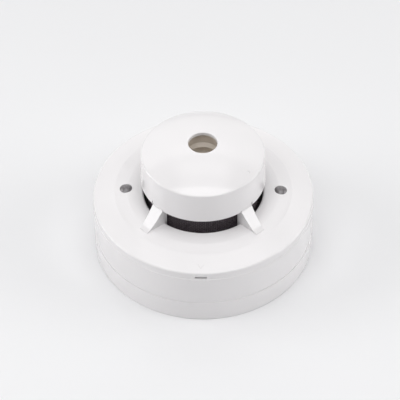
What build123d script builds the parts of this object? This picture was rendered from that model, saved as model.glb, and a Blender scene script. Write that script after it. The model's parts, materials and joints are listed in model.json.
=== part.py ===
from build123d import *
import os
from math import cos, radians, sin

# A round smoke and heat detector: a head that twists onto a shallow mounting base.
# Millimetres. The back face of the base lies on z = 0 and +Z points away from the ceiling or wall.
# The detector's axis is the Z axis, the front with the release slot faces -Y, and the lenses lie on X.

os.makedirs("parts", exist_ok=True)

# Overall outline
base_radius = 50.0
head_radius = 50.18
base_height = 11.15
head_bottom = 11.25
seam_chamfer = 0.3
head_edge = 0.06
shoulder_step = 26.2
shoulder_radius = 49.85
shoulder_top = 30.1
shoulder_round = 0.95
crease_radius = 37.7
crease_height = 32.5
mouth_radius = 27.0
mouth_height = 32.2
dish_middle = (32.6, 32.1)
cover_inner_radius = 28.8
cover_inner_bottom = 25.6

# Cap
cap_bottom = 40.1
cap_skirt_radius = 28.1
cap_rim_radius = 27.5
cap_rim_height = 55.1
cap_top = 61.2
cap_hole_radius = 6.45
cap_wall = 1.8
cap_dome_radius = 59.0
cap_round = 1.1

# Mounting base
floor_thickness = 2.4
root = 0.2
base_edge = 0.5
relief_outer = 46.0
relief_inner = 39.5
relief_depth = 0.7
cable_collar = 1.8
base_wall_inner = 47.8
cable_hole_radius = 12.5
slot_length = 10.0
slot_width = 4.4
wide_slot_spacing = 60.0
narrow_slot_spacing = 50.0
terminal_angle = 45
pedestal_place = 29.4
pedestal_length = 13.6
pedestal_width = 11.0
pedestal_top = 5.6
fence_place = 25.5
fence_offset = 6.0
fence_length = 8.0
fence_thickness = 1.2
fence_top = 8.4
terminal_thickness = 0.8
terminal_width = 9.0
clamp_bottom = pedestal_top + terminal_thickness
clamp_thickness = 0.9
screw_radius = 26.0
screw_shank = 1.6
screw_head = 3.0
screw_head_height = 2.0
screw_tip = 1.6
running_gap = 0.05

# Bayonet
tab_count = 3
tab_angle = 90
tab_width = 14.0
tab_bottom = 6.0
tab_thickness = 2.0
tab_reach = 46.4
ledge_inner = 44.4
ledge_bottom = 8.3
ledge_thickness = 2.1
stop_width = 2.4
closed_stop_turn = -11.3
open_stop_turn = 32.2

# Bottom plate
plate_bottom = 11.5
plate_thickness = 2.0
plate_top = plate_bottom + plate_thickness
plate_radius = 47.9
spigot_outer = 40.7
spigot_inner = 39.0
lip_outer = 47.4
lip_inner = 46.75
lip_depth = 0.75
post_outer = 2.6
rail_offset = 4.05
rail_thickness = 1.4
rail_height = 9.0

# Screws between the bottom plate and the outer cover
cover_screw_radius = 43.8
boss_radius = 2.9
cover_screw_shank = 1.3
cover_screw_head = 2.7
head_seat_depth = 1.1
cross_length = 3.2
cross_width = 0.7

# Circuit board
board_radius = 40.3
board_bottom = 17.0
board_thickness = 1.6
board_top = board_bottom + board_thickness
board_screw_shank = 1.1
board_screw_head = 2.1
post_radius = 35.0
contact_tail_radius = 20.5

# Optical chamber
chamber_floor_bottom = 22.5
chamber_floor_top = 24.5
chamber_radius = 26.6
chamber_roof_bottom = 42.2
chamber_roof_top = 44.2
screen_outer = 25.3
screen_inner = 24.9
vane_count = 16
duct_radius = 21.0
duct_angle = 135

# Ribs
rib_width = 5.4
rib_inner = 25.7
rib_top = 41.0
rib_foot_radius = 37.2
rib_angle = 45
pocket_extra = 0.9

# Indicator lenses
lens_position = 35.0
lens_radius = 2.75
lens_top = 33.25
lens_dome = 1.15
lens_dome_radius = (lens_radius**2 + lens_dome**2) / (2 * lens_dome)

# Release slot and latch
slot_opening_width = 5.2
slot_opening_height = 1.45
slot_opening_z = 27.25
arrow_radius = 46.45
arrow_half_width = 1.6
arrow_half_length = 1.35
arrow_stroke = 0.45
arrow_depth = 0.15
latch_front = 46.6
latch_thickness = 2.0
latch_width = 6.0
latch_bottom = 11.6
latch_bevel = 0.6
latch_top = 27.7
latch_wing_width = 10.4
latch_wing_bottom = 23.0

# Contacts
contact_width = 5.0
contact_thickness = 0.5
contact_pad_height = 7.0
rivet_radius = 24.6
rivet_shank = 1.2

# Optics
optics_height = 28.4
emitter_angle = 200
receiver_angle = 70

# Storage capacitor
capacitor_place = 33.5
capacitor_angle = 300

# Heat sensor
holder_top = 59.1
holder_step = 54.3
holder_floor = 48.4
bead_bottom = 49.6
bead_top = 53.4
lead_radius = 0.25
lead_height = chamber_roof_top + 0.4


def radial_plane(angle):
    """Upright plane through the detector's axis: local x is the radius, local y is the height."""
    across = (cos(radians(angle)), sin(radians(angle)), 0)
    normal = (sin(radians(angle)), -cos(radians(angle)), 0)
    return Plane(origin=(0, 0, 0), x_dir=across, z_dir=normal)


def sight_plane(angle, distance):
    """Upright plane across a diode's line of sight, at a distance from the detector's axis."""
    return Plane(origin=on_circle(distance, angle, optics_height), z_dir=on_circle(1, angle))


def on_circle(radius, angle, height=0):
    """Point at a radius, an angle and a height."""
    return (radius * cos(radians(angle)), radius * sin(radians(angle)), height)


# ---------------------------------------------------------------- mounting base

with BuildPart() as mounting_base:
    with BuildSketch(Plane.XZ):
        with BuildLine():
            Polyline(
                (cable_hole_radius, 0),
                (base_radius - base_edge, 0),
                (base_radius, base_edge),
                (head_radius, base_height - seam_chamfer),
                (head_radius - seam_chamfer, base_height),
                (base_wall_inner, base_height),
                (base_wall_inner, floor_thickness),
                (cable_hole_radius + 2.0, floor_thickness),
                (cable_hole_radius + 1.6, floor_thickness + cable_collar),
                (cable_hole_radius, floor_thickness + cable_collar),
                close=True,
            )
        make_face()
    revolve(axis=Axis.Z)
    # Shallow relief ring on the back face
    with BuildSketch(Plane.XY):
        Circle(relief_outer)
        Circle(relief_inner, mode=Mode.SUBTRACT)
    extrude(amount=relief_depth, mode=Mode.SUBTRACT)
    # Bayonet ledges on the wall, over the head's tabs
    with BuildSketch(Plane.XY.offset(ledge_bottom)):
        with PolarLocations(base_wall_inner - 2.0, tab_count, start_angle=tab_angle):
            Rectangle(7.0, tab_width)
        Circle(base_wall_inner + 0.4, mode=Mode.INTERSECT)
        Circle(ledge_inner, mode=Mode.SUBTRACT)
    extrude(amount=ledge_thickness)
    # Stops that end the head's turn in the closed and the open position
    with BuildSketch(Plane.XY.offset(floor_thickness - root)):
        for turn in (closed_stop_turn, open_stop_turn):
            with PolarLocations(base_wall_inner - 2.0, tab_count, start_angle=tab_angle + turn):
                Rectangle(7.0, stop_width)
        Circle(base_wall_inner + 0.4, mode=Mode.INTERSECT)
        Circle(ledge_inner, mode=Mode.SUBTRACT)
    extrude(amount=ledge_bottom + ledge_thickness - floor_thickness + root)
    # Terminal pedestals with a fence on each side
    with BuildSketch(Plane.XY.offset(floor_thickness - root)):
        with PolarLocations(pedestal_place, 4, start_angle=terminal_angle):
            Rectangle(pedestal_length, pedestal_width)
    extrude(amount=pedestal_top - floor_thickness + root)
    with BuildSketch(Plane.XY.offset(floor_thickness - root)):
        with PolarLocations(fence_place, 4, start_angle=terminal_angle):
            with Locations((0, -fence_offset), (0, fence_offset)):
                Rectangle(fence_length, fence_thickness)
    extrude(amount=fence_top - floor_thickness + root)
    with Locations(Plane.XY.offset(pedestal_top)):
        with PolarLocations(screw_radius, 4, start_angle=terminal_angle):
            Hole(screw_shank + running_gap, depth=pedestal_top - 1.2)
    # Mounting slots
    with BuildSketch(Plane.XY.offset(-1.0)):
        with Locations((-wide_slot_spacing / 2, 0), (wide_slot_spacing / 2, 0)):
            SlotOverall(slot_length, slot_width)
        with Locations((0, -narrow_slot_spacing / 2), (0, narrow_slot_spacing / 2)):
            SlotOverall(slot_length, slot_width, rotation=90)
    extrude(amount=floor_thickness + 2.0, mode=Mode.SUBTRACT)

mounting_base.part.label = "mounting_base"
export_step(mounting_base.part, "parts/mounting_base.step")

# ---------------------------------------------------------------- base terminals

for index in range(4):
    angle = terminal_angle + 90 * index
    with BuildPart() as terminal_plate:
        with BuildSketch(radial_plane(angle)):
            with BuildLine():
                FilletPolyline(
                    (21.9, 3.6),
                    (21.9, pedestal_top + terminal_thickness / 2),
                    (36.6, pedestal_top + terminal_thickness / 2),
                    (37.4, 4.8),
                    radius=0.6,
                )
            trace(line_width=terminal_thickness)
        extrude(amount=terminal_width / 2, both=True)
        with Locations(Location(on_circle(screw_radius, angle, clamp_bottom))):
            Hole(screw_shank + running_gap, depth=2.0)
    terminal_plate.part.label = f"terminal_plate_{index + 1}"
    export_step(terminal_plate.part, f"parts/terminal_plate_{index + 1}.step")

with BuildPart() as terminal_clamps:
    with BuildSketch(Plane.XY.offset(clamp_bottom)):
        with PolarLocations(screw_radius, 4, start_angle=terminal_angle):
            RectangleRounded(6.8, 7.2, 0.6)
            Circle(screw_shank + running_gap, mode=Mode.SUBTRACT)
    extrude(amount=clamp_thickness)

terminal_clamps.part.label = "terminal_clamps"
export_step(terminal_clamps.part, "parts/terminal_clamps.step")

with BuildPart() as terminal_screws:
    with BuildSketch(Plane.XY.offset(screw_tip)):
        with PolarLocations(screw_radius, 4, start_angle=terminal_angle):
            Circle(screw_shank)
    extrude(amount=clamp_bottom + clamp_thickness - screw_tip)
    with BuildSketch(Plane.XY.offset(clamp_bottom + clamp_thickness)):
        with PolarLocations(screw_radius, 4, start_angle=terminal_angle):
            Circle(screw_head)
    extrude(amount=screw_head_height)
    # Driver slots
    with BuildSketch(Plane.XY.offset(clamp_bottom + clamp_thickness + 1.1)):
        with PolarLocations(screw_radius, 4, start_angle=terminal_angle):
            Rectangle(7.0, 0.9, rotation=30)
    extrude(amount=screw_head_height, mode=Mode.SUBTRACT)

terminal_screws.part.label = "terminal_screws"
export_step(terminal_screws.part, "parts/terminal_screws.step")

# ---------------------------------------------------------------- outer cover

with BuildPart() as outer_cover:
    with BuildSketch(Plane.XZ):
        with BuildLine():
            side = Polyline(
                (base_wall_inner + 0.3, head_bottom),
                (head_radius - head_edge, head_bottom),
                (head_radius, head_bottom + head_edge),
                (head_radius - 0.04, shoulder_step - 0.1),
                (head_radius - 0.14, shoulder_step),
                (shoulder_radius, shoulder_step + 0.05),
                (shoulder_radius - 0.05, shoulder_top - shoulder_round),
            )
            shoulder_inner = shoulder_radius - 0.05 - shoulder_round
            shoulder = RadiusArc(side @ 1, (shoulder_inner, shoulder_top), -shoulder_round)
            slope = Line(shoulder @ 1, (crease_radius, crease_height))
            dish = ThreePointArc(slope @ 1, dish_middle, (mouth_radius + 0.9, mouth_height))
            lip = RadiusArc(dish @ 1, (mouth_radius, mouth_height - 0.8), -0.9)
            Polyline(
                lip @ 1,
                (mouth_radius, cover_inner_bottom),
                (cover_inner_radius, cover_inner_bottom),
                (cover_inner_radius, 29.9),
                (37.2, 30.4),
                (47.2, 28.1),
                (48.1, 26.8),
                side @ 0,
            )
        make_face()
    revolve(axis=Axis.Z)
    # Screw bosses under the shoulder
    with BuildSketch(Plane.XY.offset(plate_top)):
        with PolarLocations(cover_screw_radius, 4, start_angle=45):
            Circle(boss_radius)
    extrude(amount=16.0)
    with BuildSketch(Plane.XY.offset(plate_top)):
        with PolarLocations(cover_screw_radius, 4, start_angle=45):
            Circle(cover_screw_shank + running_gap)
    extrude(amount=12.0, mode=Mode.SUBTRACT)
    # Ribs that carry the cap
    for index in range(4):
        with BuildSketch(radial_plane(rib_angle + 90 * index)):
            with BuildLine():
                face = Line((cap_skirt_radius + 0.1, rib_top), (cap_skirt_radius + 0.1, 40.0))
                sweep_line = Spline(
                    face @ 1,
                    (30.1, 37.9),
                    (31.9, 36.2),
                    (33.6, 34.8),
                    (35.4, 33.5),
                    (rib_foot_radius, 32.5),
                    tangents=((0.4, -1), (1, -0.45)),
                )
                Polyline(
                    sweep_line @ 1,
                    (rib_foot_radius, 31.2),
                    (mouth_radius + 1.0, 30.6),
                    (mouth_radius + 1.0, 26.8),
                    (rib_inner, 26.8),
                    (rib_inner, rib_top),
                    face @ 0,
                )
            make_face()
        extrude(amount=rib_width / 2, both=True)
    # Openings for the lenses
    with Locations((lens_position, 0, mouth_height), (-lens_position, 0, mouth_height)):
        Hole(lens_radius + running_gap, depth=4.0)
    # Release slot
    with BuildSketch(Plane.XZ.offset(45.0)):
        with Locations((0, slot_opening_z)):
            Rectangle(slot_opening_width, slot_opening_height)
    extrude(amount=8.0, mode=Mode.SUBTRACT)
    # Shallow arrow on the sloping face, which points to the slot
    fall = (crease_height - shoulder_top) / (shoulder_inner - crease_radius)
    outward = Vector(0, -1, -fall).normalized()
    rise = shoulder_top + (shoulder_inner - arrow_radius) * fall
    normal = outward.cross(Vector(1, 0, 0))
    with BuildSketch(Plane(origin=(0, -arrow_radius, rise), x_dir=(1, 0, 0), z_dir=normal)):
        with BuildLine():
            Polyline(
                (0, -arrow_half_length),
                (arrow_half_width, arrow_half_length),
                (arrow_half_width - arrow_stroke, arrow_half_length),
                (0, -arrow_half_length + 1.35 * arrow_stroke),
                (arrow_stroke - arrow_half_width, arrow_half_length),
                (-arrow_half_width, arrow_half_length),
                close=True,
            )
        make_face()
    extrude(amount=arrow_depth, both=True, mode=Mode.SUBTRACT)

outer_cover.part.label = "outer_cover"
export_step(outer_cover.part, "parts/outer_cover.step")

# ---------------------------------------------------------------- cap

dome_drop = cap_dome_radius - (cap_dome_radius**2 - 17.0**2) ** 0.5
hole_drop = cap_dome_radius - (cap_dome_radius**2 - cap_hole_radius**2) ** 0.5
dome_middle = cap_top + hole_drop - dome_drop

with BuildPart() as cap:
    with BuildSketch(Plane.XZ):
        with BuildLine():
            skirt = Line((cap_skirt_radius, cap_bottom), (cap_rim_radius, cap_rim_height - cap_round))
            rim = RadiusArc(skirt @ 1, (cap_rim_radius - 0.85, cap_rim_height), -cap_round)
            dome = ThreePointArc(rim @ 1, (17.0, dome_middle), (cap_hole_radius + 0.25, cap_top))
            Polyline(
                dome @ 1,
                (cap_hole_radius, cap_top - 0.25),
                (cap_hole_radius, cap_top - cap_wall),
            )
            under = ThreePointArc(
                (cap_hole_radius, cap_top - cap_wall),
                (16.5, dome_middle - cap_wall + 0.1),
                (cap_rim_radius - cap_wall - 0.3, cap_rim_height - cap_wall - 0.3),
            )
            Polyline(
                under @ 1,
                (cap_rim_radius - cap_wall, cap_rim_height - cap_wall - 1.0),
                (cap_skirt_radius - cap_wall, cap_bottom),
                skirt @ 0,
            )
        make_face()
    revolve(axis=Axis.Z)
    # Pockets in the skirt that seat on the ribs, each a little wider on the side towards the X axis
    with BuildSketch(Plane.XY.offset(cap_bottom - 1.0)):
        for angle, side in ((45, -1), (135, 1), (225, -1), (315, 1)):
            with Locations(Location(on_circle(cap_skirt_radius - 1.0, angle), (0, 0, angle))):
                with Locations((0, side * pocket_extra / 2)):
                    Rectangle(6.0, rib_width + pocket_extra + 2 * running_gap)
    extrude(amount=rib_top - cap_bottom + 1.0, mode=Mode.SUBTRACT)

cap.part.label = "cap"
export_step(cap.part, "parts/cap.step")

# ---------------------------------------------------------------- bottom plate

with BuildPart() as bottom_plate:
    with BuildSketch(Plane.XY.offset(plate_bottom)):
        Circle(plate_radius)
    extrude(amount=plate_thickness)
    # Spigot that carries the bayonet tabs
    with BuildSketch(Plane.XY.offset(tab_bottom)):
        Circle(spigot_outer)
        Circle(spigot_inner, mode=Mode.SUBTRACT)
    extrude(amount=plate_bottom - tab_bottom)
    with BuildSketch(Plane.XY.offset(tab_bottom)):
        with PolarLocations(spigot_outer + 2.5, tab_count, start_angle=tab_angle):
            Rectangle(7.0, tab_width)
        Circle(tab_reach, mode=Mode.INTERSECT)
        Circle(spigot_inner + 0.5, mode=Mode.SUBTRACT)
    extrude(amount=tab_thickness)
    # Dust lip that closes the seam over the base's wall
    with BuildSketch(Plane.XY.offset(plate_bottom - lip_depth)):
        Circle(lip_outer)
        Circle(lip_inner, mode=Mode.SUBTRACT)
    extrude(amount=lip_depth)
    # Posts under the circuit board
    with BuildSketch(Plane.XY.offset(plate_top)):
        with PolarLocations(post_radius, tab_count, start_angle=tab_angle):
            Circle(post_outer)
    extrude(amount=board_bottom - plate_top)
    with BuildSketch(Plane.XY.offset(plate_top)):
        with PolarLocations(post_radius, tab_count, start_angle=tab_angle):
            Circle(board_screw_shank + running_gap)
    extrude(amount=board_bottom - plate_top, mode=Mode.SUBTRACT)
    # Rails that guide the latch
    with BuildSketch(Plane.XY.offset(plate_top)):
        with Locations((-rail_offset, -44.6), (rail_offset, -44.6)):
            Rectangle(rail_thickness, 5.4)
    extrude(amount=rail_height)
    # Latch window
    with BuildSketch(Plane.XY.offset(plate_bottom - lip_depth - 0.5)):
        with Locations((0, -44.8)):
            Rectangle(latch_width + 0.7, 7.0)
    extrude(amount=lip_depth + plate_thickness + 1.0, mode=Mode.SUBTRACT)
    # Holes for the contact tails and rivets
    with BuildSketch(Plane.XY.offset(plate_bottom - 0.5)):
        with PolarLocations(contact_tail_radius, 4, start_angle=terminal_angle):
            Rectangle(0.9, contact_width + 0.4)
        with PolarLocations(rivet_radius, 4, start_angle=terminal_angle):
            Circle(rivet_shank + running_gap)
    extrude(amount=plate_thickness + 1.0, mode=Mode.SUBTRACT)
    # Sunk seats for the cover screws
    with Locations(Plane.XY.offset(plate_bottom).rotated((180, 0, 0))):
        with PolarLocations(cover_screw_radius, 4, start_angle=45):
            CounterBoreHole(1.7, cover_screw_head + 0.15, head_seat_depth, depth=plate_thickness)

bottom_plate.part.label = "bottom_plate"
export_step(bottom_plate.part, "parts/bottom_plate.step")

with BuildPart() as cover_screws:
    with BuildSketch(Plane.XY.offset(plate_bottom + head_seat_depth)):
        with PolarLocations(cover_screw_radius, 4, start_angle=45):
            Circle(cover_screw_shank)
    extrude(amount=11.0)
    with BuildSketch(Plane.XY.offset(plate_bottom - 0.4)):
        with PolarLocations(cover_screw_radius, 4, start_angle=45):
            Circle(cover_screw_head)
    extrude(amount=1.5)
    with BuildSketch(Plane.XY.offset(plate_bottom - 0.6)):
        with PolarLocations(cover_screw_radius, 4, start_angle=45):
            Rectangle(cross_length, cross_width)
            Rectangle(cross_width, cross_length)
    extrude(amount=1.2, mode=Mode.SUBTRACT)

cover_screws.part.label = "cover_screws"
export_step(cover_screws.part, "parts/cover_screws.step")

# ---------------------------------------------------------------- head contacts

for index in range(4):
    angle = terminal_angle + 90 * index
    with BuildPart() as contact_blade:
        with BuildSketch(radial_plane(angle)):
            with BuildLine():
                FilletPolyline(
                    (contact_tail_radius, board_top + 0.8),
                    (contact_tail_radius, plate_bottom - contact_thickness / 2),
                    (29.4, plate_bottom - contact_thickness / 2),
                    (32.0, contact_pad_height),
                    (36.0, contact_pad_height),
                    (37.0, contact_pad_height + 1.0),
                    radius=0.4,
                )
            trace(line_width=contact_thickness)
        extrude(amount=contact_width / 2, both=True)
        with Locations(Location(on_circle(rivet_radius, angle, plate_bottom))):
            Hole(rivet_shank + running_gap, depth=1.0)
    contact_blade.part.label = f"contact_blade_{index + 1}"
    export_step(contact_blade.part, f"parts/contact_blade_{index + 1}.step")

with BuildPart() as contact_rivets:
    for index in range(4):
        with BuildSketch(radial_plane(terminal_angle + 90 * index)):
            with BuildLine():
                under_head = plate_bottom - contact_thickness
                Polyline(
                    (rivet_radius, under_head - 0.7),
                    (rivet_radius + 1.5, under_head - 0.5),
                    (rivet_radius + 2.0, under_head),
                    (rivet_radius + rivet_shank, under_head),
                    (rivet_radius + rivet_shank, plate_top),
                    (rivet_radius + 1.9, plate_top),
                    (rivet_radius + 1.5, plate_top + 0.6),
                    (rivet_radius, plate_top + 0.7),
                    close=True,
                )
            make_face()
        revolve(axis=Axis(on_circle(rivet_radius, terminal_angle + 90 * index), (0, 0, 1)))

contact_rivets.part.label = "contact_rivets"
export_step(contact_rivets.part, "parts/contact_rivets.step")

# ---------------------------------------------------------------- latch

with BuildPart() as lock_latch:
    with BuildSketch(Plane.YZ):
        with BuildLine():
            latch_back = -latch_front + latch_thickness
            Polyline(
                (-latch_front, latch_top),
                (-latch_front, latch_bottom + latch_bevel),
                (-latch_front + latch_bevel, latch_bottom),
                (latch_back, latch_bottom),
                (latch_back, latch_top - latch_bevel),
                (latch_back - latch_bevel, latch_top),
                close=True,
            )
        make_face()
    extrude(amount=latch_width / 2, both=True)
    # Cross wing above the rails, so that the latch hangs in its guides
    with BuildSketch(Plane.XY.offset(latch_wing_bottom)):
        with Locations((0, -latch_front + latch_thickness / 2)):
            Rectangle(latch_wing_width, latch_thickness)
    extrude(amount=1.6)

lock_latch.part.label = "lock_latch"
export_step(lock_latch.part, "parts/lock_latch.step")

# ---------------------------------------------------------------- circuit board

with BuildPart() as main_board:
    with BuildSketch(Plane.XY.offset(board_bottom)):
        Circle(board_radius)
        with PolarLocations(contact_tail_radius, 4, start_angle=terminal_angle):
            Rectangle(0.9, contact_width + 0.4, mode=Mode.SUBTRACT)
        with PolarLocations(post_radius, tab_count, start_angle=tab_angle):
            Circle(board_screw_shank + 0.15, mode=Mode.SUBTRACT)
        with Locations(on_circle(duct_radius, duct_angle)):
            Circle(1.1, mode=Mode.SUBTRACT)
    extrude(amount=board_thickness)

main_board.part.label = "main_board"
export_step(main_board.part, "parts/main_board.step")

with BuildPart() as board_screws:
    with BuildSketch(Plane.XY.offset(plate_top + 0.3)):
        with PolarLocations(post_radius, tab_count, start_angle=tab_angle):
            Circle(board_screw_shank)
    extrude(amount=board_top - plate_top - 0.3)
    with BuildSketch(Plane.XY.offset(board_top)):
        with PolarLocations(post_radius, tab_count, start_angle=tab_angle):
            Circle(board_screw_head)
    extrude(amount=1.3)
    with BuildSketch(Plane.XY.offset(board_top + 0.6)):
        with PolarLocations(post_radius, tab_count, start_angle=tab_angle):
            Rectangle(2.6, 0.6)
            Rectangle(0.6, 2.6)
    extrude(amount=1.0, mode=Mode.SUBTRACT)

board_screws.part.label = "board_screws"
export_step(board_screws.part, "parts/board_screws.step")


def flat_package(name, radius, angle, length, width, height, pins):
    """Chip on the board: a body with a row of gull-wing pins along each long side."""
    with BuildPart(Plane(origin=on_circle(radius, angle, board_top))) as package:
        with Locations((0, 0, height / 2 + 0.1)):
            body = Box(length, width, height)
        chamfer(package.faces().sort_by(Axis.Z)[-1].edges(), 0.2)
        with Locations((0, 0, 0.25)):
            with GridLocations(length / pins, width + 0.8, pins, 2):
                Box(0.4, 1.6, 0.3)
    package.part.label = name
    export_step(package.part, f"parts/{name}.step")


flat_package("controller_chip", 33.0, 243, 7.0, 7.0, 1.5, 8)
flat_package("interface_chip", 33.5, 155, 5.0, 4.0, 1.5, 4)
flat_package("bridge_rectifier", 33.0, 55, 4.8, 4.0, 2.2, 2)

with BuildPart() as storage_capacitor:
    with BuildSketch(Plane.XY.offset(board_top)):
        with Locations(on_circle(capacitor_place, capacitor_angle)):
            RectangleRounded(7.0, 7.0, 0.8)
    extrude(amount=1.0)
    with BuildSketch(Plane.XY.offset(board_top + 1.0)):
        with Locations(on_circle(capacitor_place, capacitor_angle)):
            Circle(3.15)
    extrude(amount=5.6)
    fillet(storage_capacitor.faces().sort_by(Axis.Z)[-1].edges(), 0.4)

storage_capacitor.part.label = "storage_capacitor"
export_step(storage_capacitor.part, "parts/storage_capacitor.step")

with BuildPart() as chip_resistors:
    with BuildSketch(Plane.XY.offset(board_top)):
        for angle in (70, 78, 108, 116, 262, 270, 278, 340, 348):
            with Locations(Location(on_circle(36.5, angle), (0, 0, angle))):
                Rectangle(2.0, 1.25)
    extrude(amount=0.55)

chip_resistors.part.label = "chip_resistors"
export_step(chip_resistors.part, "parts/chip_resistors.step")

# ---------------------------------------------------------------- indicators

for side, name in ((-1, "left"), (1, "right")):
    with BuildPart() as indicator_led:
        with BuildSketch(Plane.XY.offset(board_top)):
            with Locations((side * lens_position, 0)):
                Rectangle(3.2, 2.8)
        extrude(amount=1.0)
        with BuildSketch(Plane.XY.offset(board_top + 1.0)):
            with Locations((side * lens_position, 0)):
                Circle(1.2)
        extrude(amount=0.3)
    indicator_led.part.label = f"indicator_led_{name}"
    export_step(indicator_led.part, f"parts/indicator_led_{name}.step")

    with BuildPart() as indicator_lens:
        with BuildSketch(Plane(origin=(side * lens_position, 0, 0), x_dir=(1, 0, 0), z_dir=(0, -1, 0))):
            with BuildLine():
                Polyline(
                    (0, lens_top),
                    (0, board_top + 1.9),
                    (1.5, board_top + 1.9),
                    (1.7, 28.2),
                    (3.6, 28.2),
                    (3.6, 28.9),
                    (lens_radius, 28.9),
                    (lens_radius, lens_top - lens_dome),
                )
                RadiusArc((lens_radius, lens_top - lens_dome), (0, lens_top), -lens_dome_radius)
            make_face()
        revolve(axis=Axis((side * lens_position, 0, 0), (0, 0, 1)))
    indicator_lens.part.label = f"indicator_lens_{name}"
    export_step(indicator_lens.part, f"parts/indicator_lens_{name}.step")

# ---------------------------------------------------------------- optical chamber

with BuildPart() as chamber_base:
    with BuildSketch(Plane.XZ):
        with BuildLine():
            Polyline(
                (0, chamber_floor_bottom),
                (chamber_radius, chamber_floor_bottom),
                (chamber_radius, chamber_floor_top + 1.7),
                (screen_outer + 0.15, chamber_floor_top + 1.7),
                (screen_outer + 0.15, chamber_floor_top),
                (0, chamber_floor_top),
                close=True,
            )
        make_face()
    revolve(axis=Axis.Z)
    # Feet on the board
    with BuildSketch(Plane.XY.offset(board_top)):
        with PolarLocations(22.5, 3, start_angle=0):
            Circle(1.8)
    extrude(amount=chamber_floor_bottom - board_top)
    # Holders for the two diodes, each bored along its own line of sight
    for angle in (emitter_angle, receiver_angle):
        with BuildSketch(Plane.XY.offset(chamber_floor_top)):
            with Locations(Location(on_circle(11.5, angle), (0, 0, angle))):
                Rectangle(7.0, 7.6)
        extrude(amount=8.0)
        with BuildSketch(sight_plane(angle, 7.0)):
            Circle(2.45 + running_gap)
        extrude(amount=9.0, mode=Mode.SUBTRACT)
    # Wire holes
    with BuildSketch(Plane.XY.offset(chamber_floor_bottom - 0.5)):
        for angle in (emitter_angle, receiver_angle):
            with Locations(Location(on_circle(16.2, angle), (0, 0, angle))):
                Rectangle(1.0, 3.8)
        with Locations(on_circle(duct_radius, duct_angle)):
            Circle(1.1)
    extrude(amount=4.0, mode=Mode.SUBTRACT)

chamber_base.part.label = "chamber_base"
export_step(chamber_base.part, "parts/chamber_base.step")


def optic_diode(name, angle):
    """Round diode lying in its holder with its dome to the middle and two leads down to the board."""
    line_of_sight = Plane(
        origin=on_circle(0, 0, optics_height),
        x_dir=on_circle(1, angle),
        z_dir=(0, 0, 1),
    )
    with BuildPart() as diode:
        with BuildSketch(line_of_sight):
            with BuildLine():
                Polyline((9.4, 2.45), (15.0, 2.45), (15.0, 2.9), (15.9, 2.9), (15.9, 0), (6.95, 0))
                RadiusArc((6.95, 0), (9.4, 2.45), 2.45)
            make_face()
        revolve(axis=Axis(on_circle(0, 0, optics_height), on_circle(1, angle)))
        with BuildSketch(Plane.XY.offset(board_top)):
            with Locations(Location(on_circle(16.2, angle), (0, 0, angle))):
                with Locations((0, -1.27), (0, 1.27)):
                    Rectangle(0.5, 0.5)
        extrude(amount=optics_height - board_top)
        with BuildSketch(Plane.XY.offset(optics_height - 0.25)):
            with Locations(Location(on_circle(16.1, angle), (0, 0, angle))):
                with Locations((0, -1.27), (0, 1.27)):
                    Rectangle(0.7, 0.5)
        extrude(amount=0.5)
    diode.part.label = name
    export_step(diode.part, f"parts/{name}.step")


optic_diode("ir_emitter", emitter_angle)
optic_diode("photodiode", receiver_angle)

with BuildPart() as photodiode_shield:
    with BuildSketch(Plane.XY.offset(chamber_floor_top)):
        with Locations(Location(on_circle(11.9, receiver_angle), (0, 0, receiver_angle))):
            Rectangle(9.0, 9.0)
            Rectangle(8.2, 8.2, mode=Mode.SUBTRACT)
    extrude(amount=8.6)
    with BuildSketch(Plane.XY.offset(chamber_floor_top + 8.2)):
        with Locations(Location(on_circle(11.9, receiver_angle), (0, 0, receiver_angle))):
            Rectangle(9.0, 9.0)
    extrude(amount=0.4)
    with BuildSketch(sight_plane(receiver_angle, 6.0)):
        Circle(3.0)
    extrude(amount=4.0, mode=Mode.SUBTRACT)
    # Open back, where the leads leave
    with BuildSketch(Plane.XY.offset(chamber_floor_top)):
        with Locations(Location(on_circle(16.6, receiver_angle), (0, 0, receiver_angle))):
            Rectangle(2.0, 6.6)
    extrude(amount=7.4, mode=Mode.SUBTRACT)

photodiode_shield.part.label = "photodiode_shield"
export_step(photodiode_shield.part, "parts/photodiode_shield.step")

with BuildPart() as chamber_cover:
    with BuildSketch(Plane.XY.offset(chamber_roof_bottom)):
        Circle(screen_inner - 0.1)
    extrude(amount=chamber_roof_top - chamber_roof_bottom)
    # Bent vanes that let smoke in and keep light out
    with BuildSketch(Plane.XY.offset(chamber_floor_top + 0.1)):
        with PolarLocations(22.2, vane_count, start_angle=180 / vane_count):
            Rectangle(5.2, 0.9, rotation=38)
        with PolarLocations(19.1, vane_count, start_angle=180 / vane_count):
            with Locations((0, -0.35)):
                Rectangle(4.2, 0.9, rotation=-42)
        Circle(screen_inner - 0.2, mode=Mode.INTERSECT)
        with Locations(on_circle(duct_radius, duct_angle)):
            Circle(1.8)
    extrude(amount=chamber_roof_bottom - chamber_floor_top - 0.1)
    with BuildSketch(Plane.XY.offset(chamber_floor_top)):
        with Locations(on_circle(duct_radius, duct_angle)):
            Circle(1.1)
    extrude(amount=chamber_roof_top, mode=Mode.SUBTRACT)

chamber_cover.part.label = "chamber_cover"
export_step(chamber_cover.part, "parts/chamber_cover.step")

with BuildPart() as insect_screen:
    with BuildSketch(Plane.XY.offset(chamber_floor_top)):
        Circle(screen_outer)
        Circle(screen_inner, mode=Mode.SUBTRACT)
    extrude(amount=chamber_roof_top - chamber_floor_top + 0.6)

insect_screen.part.label = "insect_screen"
export_step(insect_screen.part, "parts/insect_screen.step")

# ---------------------------------------------------------------- heat sensor

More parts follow.
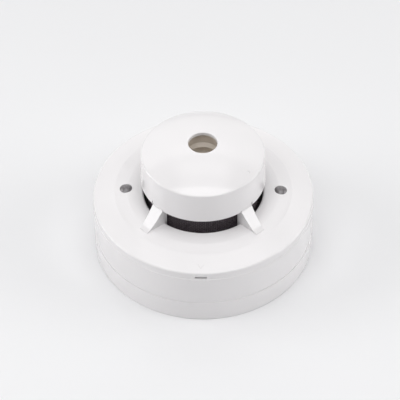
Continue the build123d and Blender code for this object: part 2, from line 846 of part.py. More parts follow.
with BuildPart() as thermistor_holder:
    with BuildSketch(Plane.XZ):
        with BuildLine():
            Polyline(
                (2.6, chamber_roof_top),
                (9.6, chamber_roof_top),
                (9.6, chamber_roof_top + 1.2),
                (8.4, chamber_roof_top + 1.6),
                (8.1, holder_top),
                (7.2, holder_top),
                (7.2, holder_step),
                (5.9, holder_step - 1.1),
                (5.8, holder_floor),
                (2.6, holder_floor),
                close=True,
            )
        make_face()
    revolve(axis=Axis.Z)
    # Stem that carries the bead
    with BuildSketch(Plane.XY.offset(chamber_roof_top)):
        Circle(2.7)
        with Locations((-0.6, 0), (0.6, 0)):
            Circle(lead_radius + 0.1, mode=Mode.SUBTRACT)
    extrude(amount=holder_floor - chamber_roof_top + 0.6)
    # Channel for the leads under the flange
    with BuildSketch(Plane.XY.offset(chamber_roof_top - 0.1)):
        with Locations(Location(on_circle(6.0, duct_angle), (0, 0, duct_angle))):
            Rectangle(13.0, 2.4)
    extrude(amount=1.0, mode=Mode.SUBTRACT)

thermistor_holder.part.label = "thermistor_holder"
export_step(thermistor_holder.part, "parts/thermistor_holder.step")

with BuildPart() as thermistor:
    with BuildSketch(Plane.XZ):
        with BuildLine():
            bead_side = Line((0, bead_bottom), (0, bead_top))
            Spline(
                bead_side @ 1,
                (0.95, bead_top - 0.7),
                (1.15, bead_bottom + 0.8),
                bead_side @ 0,
                tangents=((1, 0), (-1, 0)),
            )
        make_face()
    revolve(axis=Axis.Z)

thermistor.part.label = "thermistor"
export_step(thermistor.part, "parts/thermistor.step")

with BuildPart() as thermistor_leads:
    across = on_circle(0.6, duct_angle - 90)
    for side in (-1, 1):
        shift = Vector(across) * side
        start = Vector(side * 0.6, 0, bead_bottom - 0.05)
        with BuildLine():
            route = FilletPolyline(
                start,
                Vector(side * 0.6, 0, lead_height),
                Vector(on_circle(4.0, duct_angle, lead_height)) + shift,
                Vector(on_circle(duct_radius, duct_angle, lead_height)) + shift * 0.6,
                Vector(on_circle(duct_radius, duct_angle, board_bottom - 0.8)) + shift * 0.6,
                radius=0.35,
            )
        with BuildSketch(Plane(origin=route @ 0, z_dir=route % 0)):
            Circle(lead_radius)
        sweep(path=route)

thermistor_leads.part.label = "thermistor_leads"
export_step(thermistor_leads.part, "parts/thermistor_leads.step")
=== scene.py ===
import json
from math import acos, atan2, cos, hypot, pi, radians, sin

import bmesh
import bpy
from mathutils import Matrix, Vector


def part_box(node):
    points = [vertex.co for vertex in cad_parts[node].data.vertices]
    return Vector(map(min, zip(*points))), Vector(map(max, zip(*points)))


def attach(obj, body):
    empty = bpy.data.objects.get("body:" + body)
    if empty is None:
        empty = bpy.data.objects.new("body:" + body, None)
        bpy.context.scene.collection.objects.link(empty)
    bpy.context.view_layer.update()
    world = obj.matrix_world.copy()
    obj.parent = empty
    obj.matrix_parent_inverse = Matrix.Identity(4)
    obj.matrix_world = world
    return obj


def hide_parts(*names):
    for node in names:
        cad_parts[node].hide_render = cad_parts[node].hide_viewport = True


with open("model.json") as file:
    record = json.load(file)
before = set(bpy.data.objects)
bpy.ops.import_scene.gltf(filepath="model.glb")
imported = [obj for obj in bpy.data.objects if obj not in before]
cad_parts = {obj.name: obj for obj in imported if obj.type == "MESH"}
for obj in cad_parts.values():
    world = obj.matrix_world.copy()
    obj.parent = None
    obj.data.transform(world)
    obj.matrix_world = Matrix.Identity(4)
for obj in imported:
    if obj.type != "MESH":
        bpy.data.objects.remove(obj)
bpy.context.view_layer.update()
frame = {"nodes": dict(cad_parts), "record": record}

# A smoke and heat detector on its mounting base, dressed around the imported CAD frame.
# Lengths are in metres in the CAD frame: z is the detector's axis and -y is the front.

MM = 0.001

# ------------------------------------------------------------------ camera

VIEW_AZIMUTH = radians(1.9)
VIEW_ELEVATION = radians(45.48)
VIEW_DISTANCE = 859.3 * MM
VIEW_ROLL = radians(-0.75)
VIEW_RIGHT = -1.54 * MM
VIEW_UP = 17.63 * MM
LENS = 166.5
SENSOR = 36.0

# ------------------------------------------------------------------ places read from the frame

COVER_LOW, COVER_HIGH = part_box("outer_cover")
CAP_LOW, CAP_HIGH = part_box("cap")
BASE_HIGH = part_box("mounting_base")[1]
SCREEN_LOW, SCREEN_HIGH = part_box("insect_screen")
HOLDER_LOW, HOLDER_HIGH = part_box("thermistor_holder")
LENS_LOW, LENS_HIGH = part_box("indicator_lens_right")

ROUND = 480


# ------------------------------------------------------------------ mesh tools

def arc(centre, radius, start, end, steps):
    """Points of an arc in (radius, height), angles in degrees from the outward direction."""
    points = []
    for i in range(steps + 1):
        angle = radians(start + (end - start) * i / steps)
        points.append((centre[0] + radius * cos(angle), centre[1] + radius * sin(angle)))
    return points


def curve_between(a, b, bulge, steps):
    """Points of a shallow circular curve from a to b, its middle raised square to the chord by bulge."""
    dx, dy = b[0] - a[0], b[1] - a[1]
    length = hypot(dx, dy)
    nx, ny = -dy / length, dx / length
    points = []
    for i in range(steps + 1):
        t = i / steps
        lift = 4 * bulge * t * (1 - t)
        points.append((a[0] + dx * t + nx * lift, a[1] + dy * t + ny * lift))
    return points


def finish_mesh(piece, sharp=32):
    """Smooth shading weighted by face area, with sharp edges where faces meet at more than an angle."""
    piece.data.shade_smooth()
    piece.data.set_sharp_from_angle(angle=radians(sharp))
    normals = piece.modifiers.new("normals", "WEIGHTED_NORMAL")
    normals.keep_sharp = True
    return piece


def mesh_object(name, vertices, faces):
    mesh = bpy.data.meshes.new(name)
    mesh.from_pydata(vertices, [], faces)
    mesh.validate()
    mesh.update()
    piece = bpy.data.objects.new(name, mesh)
    bpy.context.scene.collection.objects.link(piece)
    return piece


def lathe(name, profile, segments=ROUND, centre=(0, 0), axis_ends=False):
    """Turns a closed outline in (radius, height) millimetres about the upright line through centre.
    With axis_ends the outline's first and last points lie on the axis."""
    vertices, faces = [], []
    rings = []
    for radius, height in profile:
        if axis_ends and radius < 1e-6:
            rings.append([len(vertices)])
            vertices.append((centre[0] * MM, centre[1] * MM, height * MM))
            continue
        ring = []
        for i in range(segments):
            angle = 2 * pi * i / segments
            ring.append(len(vertices))
            x = centre[0] + radius * cos(angle)
            y = centre[1] + radius * sin(angle)
            vertices.append((x * MM, y * MM, height * MM))
        rings.append(ring)
    pairs = list(zip(rings, rings[1:]))
    if not axis_ends:
        pairs.append((rings[-1], rings[0]))
    for a, b in pairs:
        for i in range(segments):
            j = (i + 1) % segments
            if len(a) == 1:
                faces.append((a[0], b[j], b[i]))
            elif len(b) == 1:
                faces.append((a[i], a[j], b[0]))
            else:
                faces.append((a[i], a[j], b[j], b[i]))
    piece = mesh_object(name, vertices, faces)
    face_outwards(piece)
    return piece


def face_outwards(piece):
    mesh = bmesh.new()
    mesh.from_mesh(piece.data)
    bmesh.ops.recalc_face_normals(mesh, faces=mesh.faces)
    mesh.to_mesh(piece.data)
    mesh.free()


def prism(name, outline, depth, matrix):
    """Closed prism: an outline in its own x and y, millimetres, spread both ways along its z by depth."""
    count = len(outline)
    vertices = []
    for z in (-depth / 2, depth / 2):
        for x, y in outline:
            vertices.append(matrix @ Vector((x * MM, y * MM, z * MM)))
    faces = [tuple(range(count)), tuple(reversed(range(count, 2 * count)))]
    for i in range(count):
        j = (i + 1) % count
        faces.append((i, i + count, j + count, j))
    piece = mesh_object(name, vertices, faces)
    face_outwards(piece)
    return piece


def radial_matrix(angle):
    """Local x is the radius at an angle in degrees, local y is up, local z is across."""
    a = radians(angle)
    return Matrix(((cos(a), 0, sin(a), 0), (sin(a), 0, -cos(a), 0), (0, 1, 0, 0), (0, 0, 0, 1)))


def polar_matrix(radius, angle, height):
    """Local x points outwards at an angle in degrees, local y is across and local z is up."""
    a = radians(angle)
    place = Matrix.Translation((radius * cos(a) * MM, radius * sin(a) * MM, height * MM))
    return place @ Matrix.Rotation(a, 4, "Z")


def rectangle(width, height):
    x, y = width / 2, height / 2
    return [(-x, -y), (x, -y), (x, y), (-x, y)]


def stadium(length, width, steps=10):
    """Outline of a slot with round ends, along x."""
    half = (length - width) / 2
    right = [(half + x, y) for x, y in arc((0, 0), width / 2, -90, 90, steps)]
    left = [(x - half, y) for x, y in arc((0, 0), width / 2, 90, 270, steps)]
    return right + left


def circle(radius, steps=48):
    return [(radius * cos(2 * pi * i / steps), radius * sin(2 * pi * i / steps)) for i in range(steps)]


def combine(piece, tools, operation):
    """Applies one exact boolean of all the tools to the piece, then removes the tools."""
    group = bpy.data.collections.new("tools")
    for tool in tools:
        group.objects.link(tool)
    modifier = piece.modifiers.new("combine", "BOOLEAN")
    modifier.operation = operation
    modifier.solver = "EXACT"
    modifier.operand_type = "COLLECTION"
    modifier.collection = group
    bpy.context.view_layer.update()
    result = bpy.data.meshes.new_from_object(piece.evaluated_get(bpy.context.evaluated_depsgraph_get()))
    piece.modifiers.clear()
    old = piece.data
    piece.data = result
    bpy.data.meshes.remove(old)
    for tool in tools:
        mesh = tool.data
        bpy.data.objects.remove(tool)
        bpy.data.meshes.remove(mesh)
    bpy.data.collections.remove(group)
    return piece


# ------------------------------------------------------------------ materials

def material(name, colour, roughness, metallic=0.0):
    """New node material and its Principled shader, with its constant values set on the shader."""
    made = bpy.data.materials.new(name)
    made.use_nodes = True
    shader = made.node_tree.nodes["Principled BSDF"]
    shader.inputs["Base Color"].default_value = (*colour, 1)
    shader.inputs["Roughness"].default_value = roughness
    shader.inputs["Metallic"].default_value = metallic
    return made, shader


def add_noise(made, scale, detail=3.0, stretch=(1, 1, 1)):
    """Noise texture on the piece's own coordinates, in metres."""
    nodes, links = made.node_tree.nodes, made.node_tree.links
    place = nodes.new("ShaderNodeTexCoord")
    mapping = nodes.new("ShaderNodeMapping")
    mapping.inputs["Scale"].default_value = stretch
    noise = nodes.new("ShaderNodeTexNoise")
    noise.inputs["Scale"].default_value = scale
    noise.inputs["Detail"].default_value = detail
    links.new(place.outputs["Object"], mapping.inputs["Vector"])
    links.new(mapping.outputs["Vector"], noise.inputs["Vector"])
    return noise


def vary_colour(made, shader, noise, low, high, spread=(0.35, 0.65)):
    """Drives the colour between two near shades by the noise."""
    nodes, links = made.node_tree.nodes, made.node_tree.links
    ramp = nodes.new("ShaderNodeValToRGB")
    ramp.color_ramp.elements[0].position = spread[0]
    ramp.color_ramp.elements[1].position = spread[1]
    ramp.color_ramp.elements[0].color = (*low, 1)
    ramp.color_ramp.elements[1].color = (*high, 1)
    links.new(noise.outputs["Fac"], ramp.inputs["Fac"])
    links.new(ramp.outputs["Color"], shader.inputs["Base Color"])


def vary_roughness(made, shader, noise, low, high):
    nodes, links = made.node_tree.nodes, made.node_tree.links
    spread = nodes.new("ShaderNodeMapRange")
    spread.inputs["To Min"].default_value = low
    spread.inputs["To Max"].default_value = high
    links.new(noise.outputs["Fac"], spread.inputs["Value"])
    links.new(spread.outputs["Result"], shader.inputs["Roughness"])


def add_bump(made, shader, noise, depth, strength=1.0):
    nodes, links = made.node_tree.nodes, made.node_tree.links
    bump = nodes.new("ShaderNodeBump")
    bump.inputs["Strength"].default_value = strength
    bump.inputs["Distance"].default_value = depth
    links.new(noise.outputs["Fac"], bump.inputs["Height"])
    links.new(bump.outputs["Normal"], shader.inputs["Normal"])


def shade(colour, factor):
    return tuple(min(1.0, c * factor) for c in colour)


def moulded(name, colour, roughness, grain=0.004, coat=0.0):
    """Moulded plastic: faint flow shading, uneven gloss and a fine skin grain."""
    made, shader = material(name, colour, roughness)
    flow = add_noise(made, 28.0, 2.0)
    vary_colour(made, shader, flow, shade(colour, 0.985), shade(colour, 1.01))
    gloss = add_noise(made, 160.0, 3.0)
    vary_roughness(made, shader, gloss, roughness * 0.85, roughness * 1.15)
    skin = add_noise(made, 1400.0, 4.0)
    add_bump(made, shader, skin, grain * MM)
    shader.inputs["Coat Weight"].default_value = coat
    shader.inputs["Coat Roughness"].default_value = 0.04
    return made


def plated(name, colour, roughness, stretch=(1, 1, 14)):
    """Pressed or turned metal: directional brushing in gloss and bump."""
    made, shader = material(name, colour, roughness, 1.0)
    tone = add_noise(made, 300.0, 3.0)
    vary_colour(made, shader, tone, shade(colour, 0.86), shade(colour, 1.04))
    brush = add_noise(made, 900.0, 5.0, stretch)
    vary_roughness(made, shader, brush, roughness * 0.7, roughness * 1.4)
    add_bump(made, shader, brush, 0.01 * MM)
    return made


def smoky_plastic():
    """Dark smoky clear plastic of the indicator lenses."""
    colour = (0.29, 0.272, 0.28)
    made, shader = material("smoky_lens", colour, 0.08)
    tone = add_noise(made, 500.0, 2.0)
    vary_colour(made, shader, tone, shade(colour, 0.85), shade(colour, 1.2))
    shader.inputs["Transmission Weight"].default_value = 0.35
    shader.inputs["IOR"].default_value = 1.49
    shader.inputs["Coat Weight"].default_value = 0.6
    shader.inputs["Coat Roughness"].default_value = 0.05
    vary_roughness(made, shader, tone, 0.05, 0.14)
    return made


def board_material():
    """Green solder mask with the paler pattern of copper under it and a fine weave."""
    made, shader = material("board_green", (0.03, 0.16, 0.06), 0.35)
    nodes, links = made.node_tree.nodes, made.node_tree.links
    place = nodes.new("ShaderNodeTexCoord")
    tracks = nodes.new("ShaderNodeTexBrick")
    tracks.inputs["Scale"].default_value = 260.0
    tracks.inputs["Mortar Size"].default_value = 0.09
    tracks.inputs["Color1"].default_value = (0.022, 0.13, 0.05, 1)
    tracks.inputs["Color2"].default_value = (0.03, 0.17, 0.065, 1)
    tracks.inputs["Mortar"].default_value = (0.05, 0.24, 0.1, 1)
    links.new(place.outputs["Object"], tracks.inputs["Vector"])
    links.new(tracks.outputs["Color"], shader.inputs["Base Color"])
    weave = add_noise(made, 2500.0, 2.0)
    add_bump(made, shader, weave, 0.01 * MM)
    shader.inputs["Coat Weight"].default_value = 0.4
    return made


def clear_tinted(name, colour):
    """Cast resin of the optic diodes and the bead."""
    made, shader = material(name, colour, 0.12)
    tone = add_noise(made, 700.0, 2.0)
    vary_colour(made, shader, tone, shade(colour, 0.8), shade(colour, 1.2))
    shader.inputs["Transmission Weight"].default_value = 0.5
    shader.inputs["IOR"].default_value = 1.5
    vary_roughness(made, shader, tone, 0.08, 0.2)
    return made


WHITE = (0.87, 0.852, 0.86)
SHELL = moulded("white_shell", WHITE, 0.18, 0.0004, 0.5)
FINISH = {
    "white_shell": SHELL,
    "white_inner": moulded("white_inner", (0.78, 0.78, 0.77), 0.42, 0.006),
    # The screen's own colour is near black. Part of this lighter grey is painted reflection, standing in
    # for the glints on its wires.
    "screen_mesh": moulded("screen_mesh", (0.095, 0.074, 0.087), 0.28, 0.002, 0.5),
    "chamber_black": moulded("chamber_black", (0.012, 0.012, 0.012), 0.6, 0.01),
    "smoky_lens": smoky_plastic(),
    "led_white": moulded("led_white", (0.82, 0.8, 0.72), 0.3, 0.004),
    # Painted warm shade: the holder is white plastic, but it is given a darker beige here to stand in for
    # the warm shade inside the well under the cap's hole.
    "holder_beige": moulded("holder_beige", (0.7, 0.635, 0.56), 0.35, 0.006),
    "thermistor_glass": clear_tinted("thermistor_glass", (0.05, 0.025, 0.015)),
    "lead_wire": plated("lead_wire", (0.72, 0.7, 0.66), 0.3),
    "emitter_clear": clear_tinted("emitter_clear", (0.45, 0.52, 0.72)),
    "photodiode_dark": clear_tinted("photodiode_dark", (0.04, 0.03, 0.05)),
    "shield_steel": plated("shield_steel", (0.72, 0.72, 0.7), 0.3),
    "terminal_steel": plated("terminal_steel", (0.68, 0.68, 0.66), 0.32, (14, 1, 1)),
    "screw_steel": plated("screw_steel", (0.64, 0.65, 0.68), 0.28),
    "contact_bronze": plated("contact_bronze", (0.78, 0.6, 0.34), 0.3, (14, 1, 1)),
    "rivet_brass": plated("rivet_brass", (0.8, 0.64, 0.36), 0.28),
    "board_green": board_material(),
    "chip_black": moulded("chip_black", (0.02, 0.02, 0.021), 0.5, 0.01),
    "capacitor_aluminium": plated("capacitor_aluminium", (0.76, 0.76, 0.78), 0.3, (1, 1, 8)),
}

for part in frame["record"]["subparts"]:
    node = frame["nodes"][part["node"]]
    node.data.materials.clear()
    node.data.materials.append(FINISH[part["material_slot"]])


def dress(piece, slot, body, *replaced):
    """Gives a new piece the material of its slot and the body that it rides on, and hides the nodes it
    stands for.
    """
    piece.data.materials.clear()
    piece.data.materials.append(FINISH[slot])
    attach(piece, body)
    if replaced:
        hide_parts(*replaced)
    return piece


# ------------------------------------------------------------------ cap

CAP_BOTTOM = CAP_LOW.z / MM
CAP_TOP = CAP_HIGH.z / MM
SKIRT_RADIUS = 28.1
RIM_RADIUS = 27.5
RIM_HEIGHT = CAP_TOP - 6.1
HOLE_RADIUS = 6.45
CAP_WALL = 1.8
STEP_TOP = 53.9
RIB_TOP = COVER_HIGH.z / MM
RIB_WIDTH = 6.2
RIB_TAPER = 0.03
NOTCH_WIDTH = 0.8
NOTCH_HEIGHT = 1.9
POCKET_REACH = 6.0
MARK_PLACE = 24.2
MARK_TURN = 56
MARK_RADIUS = 0.75
MARK_DEPTH = 0.25
RIB_ANGLES = (45.6, 134.4, 225.6, 314.4)
DIAGONALS = (45, 135, 225, 315)
FRONT = -90


def dome_place(dome, radius, angle):
    """Matrix that lies on the dome at a radius and an angle, its z square to the surface."""
    for a, b in zip(dome, dome[1:]):
        if b[0] <= radius <= a[0]:
            t = (a[0] - radius) / (a[0] - b[0])
            height = a[1] + (b[1] - a[1]) * t
            tilt = atan2(b[1] - a[1], a[0] - b[0])
            return polar_matrix(radius, angle, height) @ Matrix.Rotation(tilt, 4, "Y")


def cap_shell():
    """Domed cap with its hole, the pockets for the ribs and a notch beside each."""
    rim = arc((RIM_RADIUS - 0.9, RIM_HEIGHT - 0.82), 0.9, 4, 64, 8)
    dome_start = rim[-1]
    dome_end = (HOLE_RADIUS + 0.3, CAP_TOP)
    dome = curve_between(dome_start, dome_end, -0.95, 40)
    lip = arc((HOLE_RADIUS + 0.3, CAP_TOP - 0.3), 0.3, 95, 180, 5)
    inner_rim = RIM_RADIUS - CAP_WALL
    inner_skirt = SKIRT_RADIUS - CAP_WALL
    under_start = (HOLE_RADIUS + 0.1, CAP_TOP - CAP_WALL)
    under = curve_between(under_start, (inner_rim - 1.0, RIM_HEIGHT - 1.6), 0.9, 16)
    profile = (
        [
            (SKIRT_RADIUS - 0.15, CAP_BOTTOM),
            (SKIRT_RADIUS - 0.04, CAP_BOTTOM + 0.04),
            (SKIRT_RADIUS, CAP_BOTTOM + 0.15),
        ]
        + rim
        + dome[1:]
        + lip[1:]
        + [(HOLE_RADIUS, CAP_TOP - CAP_WALL + 0.1)]
        + under
        + [(inner_rim, RIM_HEIGHT - 3.0), (inner_skirt, CAP_BOTTOM + 0.1), (inner_skirt + 0.1, CAP_BOTTOM)]
    )
    shell = lathe("cap_shell", profile)
    tools = []
    for angle, side in zip(RIB_ANGLES, (-1, 1, -1, 1)):
        matrix = polar_matrix(SKIRT_RADIUS - 1.0, angle, CAP_BOTTOM)
        pocket_height = RIB_TOP - CAP_BOTTOM + 0.02
        tools.append(prism("pocket", rectangle(POCKET_REACH, RIB_WIDTH + 0.1), 2 * pocket_height, matrix))
        beside = matrix @ Matrix.Translation((0, side * (RIB_WIDTH + NOTCH_WIDTH) / 2 * MM, 0))
        tools.append(prism("notch", rectangle(POCKET_REACH, NOTCH_WIDTH), 2 * NOTCH_HEIGHT, beside))
    mark_place = dome_place(dome, MARK_PLACE, FRONT + MARK_TURN)
    tools.append(prism("gate_mark", circle(MARK_RADIUS, 32), 2 * MARK_DEPTH, mark_place))
    combine(shell, tools, "DIFFERENCE")
    return dress(finish_mesh(shell), "white_shell", "head", "cap")


cap_shell()

# ------------------------------------------------------------------ mounting base

BASE_FLOOR_TOP = 2.4
BASE_WALL_INNER = 47.8
BASE_TOP = BASE_HIGH.z / MM
BASE_REACH = BASE_HIGH.x / MM


def base_block(name, radius, angle, across, low, high):
    """Block on the base's floor or wall: radius gives its inner and outer limits."""
    place = polar_matrix((radius[0] + radius[1]) / 2, angle, (low + high) / 2)
    return prism(name, rectangle(radius[1] - radius[0], across), high - low, place)


def base_shell():
    """Tray with its wall, ledges, stops, pedestals and fences, and the holes and slots through it."""
    edge = BASE_REACH - 0.18
    profile = [
        (12.5, 0.0), (edge - 0.5, 0.0), (edge - 0.15, 0.12), (edge, 0.5), (BASE_REACH, BASE_TOP - 0.14),
        (BASE_REACH - 0.04, BASE_TOP - 0.04), (BASE_REACH - 0.14, BASE_TOP), (BASE_WALL_INNER, BASE_TOP),
        (BASE_WALL_INNER, BASE_FLOOR_TOP), (14.5, BASE_FLOOR_TOP), (14.1, 4.2), (12.5, 4.2),
    ]
    shell = lathe("base_shell", profile)
    blocks = []
    for turn in (0, 120, 240):
        blocks.append(base_block("ledge", (44.4, 48.4), 90 + turn, 14.0, 8.3, 10.4))
        for offset in (-11.3, 32.2):
            blocks.append(base_block("stop", (44.4, 48.4), 90 + offset + turn, 2.4, 2.2, 10.4))
    for angle in DIAGONALS:
        blocks.append(base_block("pedestal", (22.6, 36.2), angle, 11.0, 2.2, 5.6))
        for side in (-6.0, 6.0):
            place = polar_matrix(25.5, angle, 5.3) @ Matrix.Translation((0, side * MM, 0))
            blocks.append(prism("fence", rectangle(8.0, 1.2), 6.2, place))
    combine(shell, blocks, "UNION")
    cuts = [lathe("relief", [(39.5, -1.0), (46.0, -1.0), (46.0, 0.7), (39.5, 0.7)], 192)]
    for angle in DIAGONALS:
        cuts.append(prism("screw_hole", circle(1.65, 24), 6.4, polar_matrix(26.0, angle, 4.4)))
    for turn, reach in ((0, 30), (180, 30), (90, 25), (270, 25)):
        cuts.append(prism("fixing_slot", stadium(10.0, 4.4), 8.0, polar_matrix(reach, turn, 1.2)))
    combine(shell, cuts, "DIFFERENCE")
    return dress(finish_mesh(shell), "white_shell", "base", "mounting_base")


base_shell()

# ------------------------------------------------------------------ outer cover

COVER_BOTTOM = COVER_LOW.z / MM
WALL_RADIUS = COVER_HIGH.x / MM - 0.2
STEP_HEIGHT = 26.2
SHOULDER_RADIUS = 49.8
SHOULDER_TOP = 30.1
SHOULDER_ROUND = 0.95
CREASE_RADIUS = 37.7
CREASE_HEIGHT = 32.5
MOUTH_RADIUS = 27.0
MOUTH_HEIGHT = 32.2
ARROW_RADIUS = 46.45
ARROW_DEPTH = 0.22
BOSS_PLACE = 43.8
BOSS_RADIUS = 2.9
BORE_RADIUS = 1.35
SLOT_LOW = 26.53
SLOT_HIGH = 27.97
SLOT_WIDTH = 5.2
LENS_PLACE = 35.0
LENS_RADIUS = 2.75


def cover_shell():
    """Wall, shoulder, sloping top with its dish, mouth, ribs, bosses, lens holes, slot and arrow."""
    side = [
        (48.1, COVER_BOTTOM),
        (WALL_RADIUS - 0.05, COVER_BOTTOM),
        (WALL_RADIUS, COVER_BOTTOM + 0.05),
        (WALL_RADIUS, STEP_HEIGHT - 0.22),
        (WALL_RADIUS - 0.06, STEP_HEIGHT - 0.08),
        (WALL_RADIUS - 0.2, STEP_HEIGHT),
        (SHOULDER_RADIUS + 0.03, STEP_HEIGHT + 0.05),
    ]
    shoulder_centre = (SHOULDER_RADIUS - SHOULDER_ROUND, SHOULDER_TOP - SHOULDER_ROUND)
    shoulder = arc(shoulder_centre, SHOULDER_ROUND, 0, 80, 9)
    slope = curve_between(shoulder[-1], (CREASE_RADIUS + 2.4, CREASE_HEIGHT - 0.52), 0.04, 12)
    crease = curve_between(slope[-1], (CREASE_RADIUS - 3.4, CREASE_HEIGHT - 0.27), 0.2, 18)
    dish = curve_between(crease[-1], (MOUTH_RADIUS + 0.9, MOUTH_HEIGHT), -0.05, 12)
    lip = arc((MOUTH_RADIUS + 0.8, MOUTH_HEIGHT - 0.8), 0.8, 85, 180, 8)
    inside = [
        (MOUTH_RADIUS, 25.7),
        (MOUTH_RADIUS + 0.1, 25.6),
        (MOUTH_RADIUS + 1.8, 25.6),
        (MOUTH_RADIUS + 1.8, 29.9),
        (37.2, 30.4),
        (47.2, 28.1),
        (48.1, 26.8),
    ]
    shell = lathe("cover_shell", side + shoulder + slope[1:] + crease[1:] + dish[1:] + lip[1:] + inside)
    additions = [rib(angle) for angle in RIB_ANGLES]
    for angle in DIAGONALS:
        additions.append(prism("boss", circle(BOSS_RADIUS), 16.0, polar_matrix(BOSS_PLACE, angle, 21.5)))
    combine(shell, additions, "UNION")
    cuts = []
    for angle in DIAGONALS:
        cuts.append(prism("bore", circle(BORE_RADIUS, 24), 12.0, polar_matrix(BOSS_PLACE, angle, 19.4)))
    for side_angle in (0, 180):
        place = polar_matrix(LENS_PLACE, side_angle, 31.0)
        cuts.append(prism("lens_hole", circle(LENS_RADIUS + 0.06), 6.0, place))
    slot_outline = [(45.0, SLOT_LOW), (53.0, SLOT_LOW), (53.0, SLOT_HIGH), (45.0, SLOT_HIGH)]
    cuts.append(prism("slot", slot_outline, SLOT_WIDTH, radial_matrix(FRONT)))
    cuts.append(arrow(slope))
    combine(shell, cuts, "DIFFERENCE")
    return dress(finish_mesh(shell), "white_shell", "head", "outer_cover")


def arrow(slope):
    """Shallow cut arrow on the sloping face, which points to the release slot."""
    outer, inner = slope[0], slope[-1]
    tilt = atan2(inner[1] - outer[1], outer[0] - inner[0])
    t = (outer[0] - ARROW_RADIUS) / (outer[0] - inner[0])
    height = outer[1] + (inner[1] - outer[1]) * t
    outline = [(1.35, 0), (-1.35, 1.6), (-1.35, 1.15), (0.7, 0), (-1.35, -1.15), (-1.35, -1.6)]
    place = polar_matrix(ARROW_RADIUS, FRONT, height) @ Matrix.Rotation(tilt, 4, "Y")
    return prism("arrow", outline, 2 * ARROW_DEPTH, place)


def rib(angle):
    """Rib from the dish up to the cap's skirt: its sloping face eases into the dish and narrows."""
    face = [(28.2, RIB_TOP), (28.2, 40.1), (31.7, 36.1), (34.2, 33.9)]
    start, pull, foot = Vector(face[-1]), Vector((35.4, 32.75)), Vector((36.9, 32.3))
    for i in range(1, 9):
        t = i / 8
        face.append(tuple(start * (1 - t) ** 2 + pull * 2 * t * (1 - t) + foot * t**2))
    inner = [(foot.x, 31.3), (28.0, 31.0), (28.0, 26.8), (25.7, 26.8), (25.7, RIB_TOP)]
    piece = prism("rib", face + inner, RIB_WIDTH, Matrix.Identity(4))
    for vertex in piece.data.vertices:
        vertex.co.z *= 1 - RIB_TAPER * (vertex.co.x / MM - SKIRT_RADIUS)
    piece.data.transform(radial_matrix(angle))
    face_outwards(piece)
    return piece


cover_shell()

# ------------------------------------------------------------------ indicator lenses


def lens(name, side, replaced):
    """Domed light pipe with its flange and its stem down to the diode."""
    top = LENS_HIGH.z / MM
    low = LENS_LOW.z / MM
    dome_height = 1.15
    dome_radius = (LENS_RADIUS**2 + dome_height**2) / (2 * dome_height)
    reach = pi / 2 - acos(LENS_RADIUS / dome_radius)
    dome = arc((0, top - dome_radius), dome_radius, 90 - 180 / pi * reach, 90, 14)
    stem = [(0.0, low), (1.4, low), (1.5, low + 0.1), (1.7, 28.2)]
    flange = [(3.6, 28.2), (3.6, 28.9), (LENS_RADIUS, 28.9), (LENS_RADIUS, top - dome_height - 0.1)]
    profile = stem + flange + dome[:-1] + [(0.0, top)]
    piece = lathe(name, profile, 64, (side * LENS_PLACE, 0), True)
    return dress(finish_mesh(piece, 40), "smoky_lens", "head", replaced)


lens("smoky_lens_left", -1, "indicator_lens_left")
lens("smoky_lens_right", 1, "indicator_lens_right")

# ------------------------------------------------------------------ sensor holder


def holder():
    """Tube around the heat sensor: a sloping step inside, a wider bore under it, and a hollow stem."""
    low, high = HOLDER_LOW.z / MM, HOLDER_HIGH.z / MM
    profile = [
        (2.6, low), (9.55, low), (9.6, low + 0.05), (9.6, low + 1.1),
        (9.5, low + 1.2), (8.8, low + 1.5), (8.7, low + 1.7),
        (8.45, high - 0.15), (8.35, high), (7.95, high), (7.85, high - 0.1),
        (7.85, STEP_TOP), (7.75, STEP_TOP - 0.1), (6.55, STEP_TOP - 1.3), (6.45, STEP_TOP - 1.45),
        (6.45, STEP_TOP - 1.9), (6.55, STEP_TOP - 2.0), (7.9, STEP_TOP - 2.2), (8.0, STEP_TOP - 2.3),
        (8.0, 48.5), (7.9, 48.4), (2.6, 48.4),
    ]
    tube_piece = lathe("sensor_holder", profile, 192)
    stem = [(0.95, low), (2.6, low), (2.7, low + 0.1), (2.7, 48.9), (2.6, 49.0), (0.95, 49.0)]
    combine(tube_piece, [lathe("stem", stem, 96)], "UNION")
    # The holder's beige finish is painted warm shade on a white part.
    return dress(finish_mesh(tube_piece), "holder_beige", "head", "thermistor_holder")


holder()

# ------------------------------------------------------------------ insect screen

WIRES = 192
WIRE_RADIUS = 0.15
WIRE_SIDES = 6


def tube(vertices, faces, points, radius, closed=False):
    """Adds a round wire through points, millimetres, to the lists."""
    count = len(points)
    rings = []
    for i, point in enumerate(points):
        before = points[(i - 1) % count] if closed or i else points[0]
        after = points[(i + 1) % count] if closed or i < count - 1 else points[-1]
        along = (Vector(after) - Vector(before)).normalized()
        out = Vector((point[0], point[1], 0)).normalized()
        across = along.cross(out).normalized()
        out = across.cross(along)
        ring = []
        for k in range(WIRE_SIDES):
            angle = 2 * pi * k / WIRE_SIDES
            ring.append(len(vertices))
            vertices.append((Vector(point) + out * radius * cos(angle) + across * radius * sin(angle)) * MM)
        rings.append(ring)
    spans = list(zip(rings, rings[1:] + rings[:1]))
    if not closed:
        spans = spans[:-1]
        faces.append(tuple(reversed(rings[0])))
        faces.append(tuple(rings[-1]))
    for a, b in spans:
        for k in range(WIRE_SIDES):
            m = (k + 1) % WIRE_SIDES
            faces.append((a[k], a[m], b[m], b[k]))


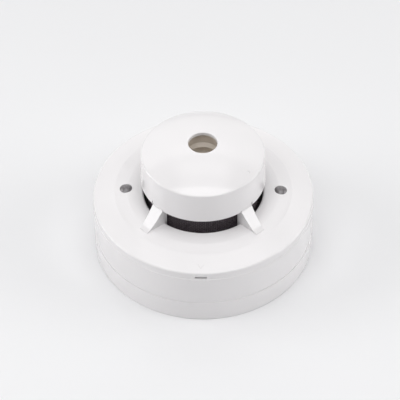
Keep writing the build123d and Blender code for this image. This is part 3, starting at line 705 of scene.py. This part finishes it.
def screen():
    """Woven wires: uprights and hoops pass over and under each other."""
    vertices, faces = [], []
    low, high = SCREEN_LOW.z / MM + 0.4, SCREEN_HIGH.z / MM - 0.3
    middle = SCREEN_HIGH.x / MM - 2.2 * WIRE_RADIUS
    hoops = 25
    pitch = (high - low) / (hoops - 1)
    for i in range(WIRES):
        angle = 2 * pi * i / WIRES
        points = []
        for j in range(2 * hoops - 1):
            wave = cos(pi * j / 2) * (1 if i % 2 else -1)
            radius = middle + WIRE_RADIUS * 0.9 * wave
            points.append((radius * cos(angle), radius * sin(angle), low + pitch * j / 2))
        tube(vertices, faces, points, WIRE_RADIUS)
    for j in range(hoops):
        points = []
        for i in range(2 * WIRES):
            angle = pi * i / WIRES
            wave = -cos(pi * i / 2) * (-1 if j % 2 else 1)
            radius = middle + WIRE_RADIUS * 0.9 * wave
            points.append((radius * cos(angle), radius * sin(angle), low + pitch * j))
        tube(vertices, faces, points, WIRE_RADIUS, True)
    piece = mesh_object("woven_screen", vertices, faces)
    face_outwards(piece)
    piece.data.shade_smooth()
    # The screen's lighter grey is partly its own dark colour and partly a painted reflection of the glints
    # on its wires.
    return dress(piece, "screen_mesh", "head", "insect_screen")


screen()

# ------------------------------------------------------------------ stage, light and camera


LIGHT_AIM = (0, 0, 0.03)
FLOOR_REACH = 1.6


def floor():
    made, shader = material("floor_paper", (0.86, 0.86, 0.87), 0.55)
    tone = add_noise(made, 2.0, 2.0)
    vary_colour(made, shader, tone, (0.83, 0.83, 0.84), (0.85, 0.85, 0.86))
    corners = rectangle(2 * FLOOR_REACH, 2 * FLOOR_REACH)
    piece = mesh_object("floor", [(x, y, 0) for x, y in corners], [(0, 1, 2, 3)])
    piece.data.materials.append(made)


def softbox(name, place, size, power):
    """Rectangular area light, watts, aimed at the middle of the detector."""
    data = bpy.data.lights.new(name, "AREA")
    data.shape = "RECTANGLE"
    data.size, data.size_y = size
    data.energy = power
    lamp = bpy.data.objects.new(name, data)
    lamp.location = place
    lamp.rotation_euler = (Vector(LIGHT_AIM) - Vector(place)).to_track_quat("-Z", "Y").to_euler()
    bpy.context.scene.collection.objects.link(lamp)


def studio():
    world = bpy.data.worlds.new("studio")
    world.use_nodes = True
    world.node_tree.nodes["Background"].inputs["Color"].default_value = (1.0, 1.0, 1.0, 1)
    world.node_tree.nodes["Background"].inputs["Strength"].default_value = 0.13
    bpy.context.scene.world = world
    softbox("overhead", (0.0, -0.45, 1.1), (1.3, 0.9), 7.35)
    softbox("overhead_left", (-0.6, -0.6, 0.85), (0.5, 0.5), 0.5)
    softbox("overhead_middle", (0.0, 0.1, 1.2), (0.8, 0.8), 1.1)
    softbox("overhead_back", (0.0, 0.5, 1.0), (0.9, 0.7), 0.7)
    softbox("left_side", (-1.0, 0.0, 0.5), (0.7, 0.7), 4.7)
    softbox("right_side", (1.0, 0.0, 0.5), (0.7, 0.7), 4.3)
    softbox("back_wide", (0.0, 1.2, 0.7), (2.6, 1.5), 8.2)
    view = bpy.context.scene.view_settings
    view.view_transform = "Standard"
    view.look = "None"


def camera():
    azimuth, elevation = VIEW_AZIMUTH, VIEW_ELEVATION
    back = Vector((sin(azimuth) * cos(elevation), -cos(azimuth) * cos(elevation), sin(elevation)))
    right = Vector((cos(azimuth), sin(azimuth), 0))
    up = back.cross(right)
    place = back * VIEW_DISTANCE + right * VIEW_RIGHT + up * VIEW_UP
    x_axis = right * cos(VIEW_ROLL) + up * sin(VIEW_ROLL)
    y_axis = up * cos(VIEW_ROLL) - right * sin(VIEW_ROLL)
    data = bpy.data.cameras.new("camera")
    data.lens = LENS
    data.sensor_width = SENSOR
    eye = bpy.data.objects.new("camera", data)
    turn = Matrix((x_axis, y_axis, back)).transposed().to_4x4()
    eye.matrix_world = Matrix.Translation(place) @ turn
    bpy.context.scene.collection.objects.link(eye)
    bpy.context.scene.camera = eye


floor()
studio()
camera()
